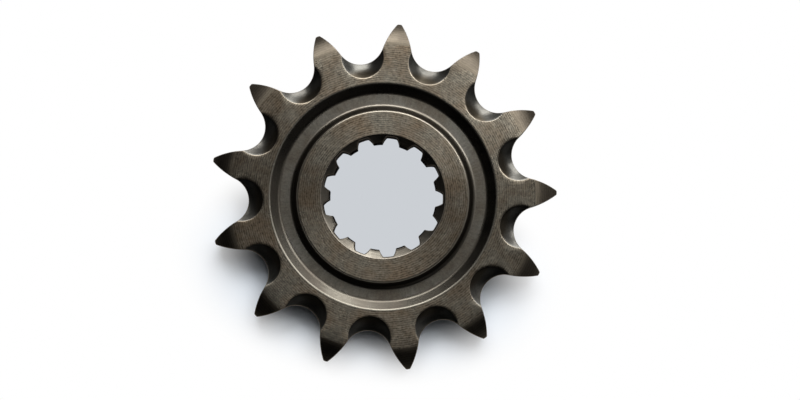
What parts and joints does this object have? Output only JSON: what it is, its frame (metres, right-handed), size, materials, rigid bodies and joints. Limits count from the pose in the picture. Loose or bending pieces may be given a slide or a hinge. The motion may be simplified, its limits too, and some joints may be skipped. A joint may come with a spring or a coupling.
{
  "type": "front sprocket",
  "caption": "Motorcycle front drive sprocket: a toothed steel ring for a roller chain, with mud-relief scoops, a turned recess on each face and a splined hub bore.",
  "frame": {"origin": "on the sprocket's axis at the chain line, midway between the two tooth faces", "axes": "+Z along the axis towards the pictured face, +Y up and +X right in the picture"},
  "size_m": [0.0715, 0.0718, 0.0074],
  "materials": {
    "hardened_steel": "turned and case-hardened, lightly oiled, satin"
  },
  "bodies": {
    "root": {"sprocket": "hardened_steel"}
  },
  "joints": []
}
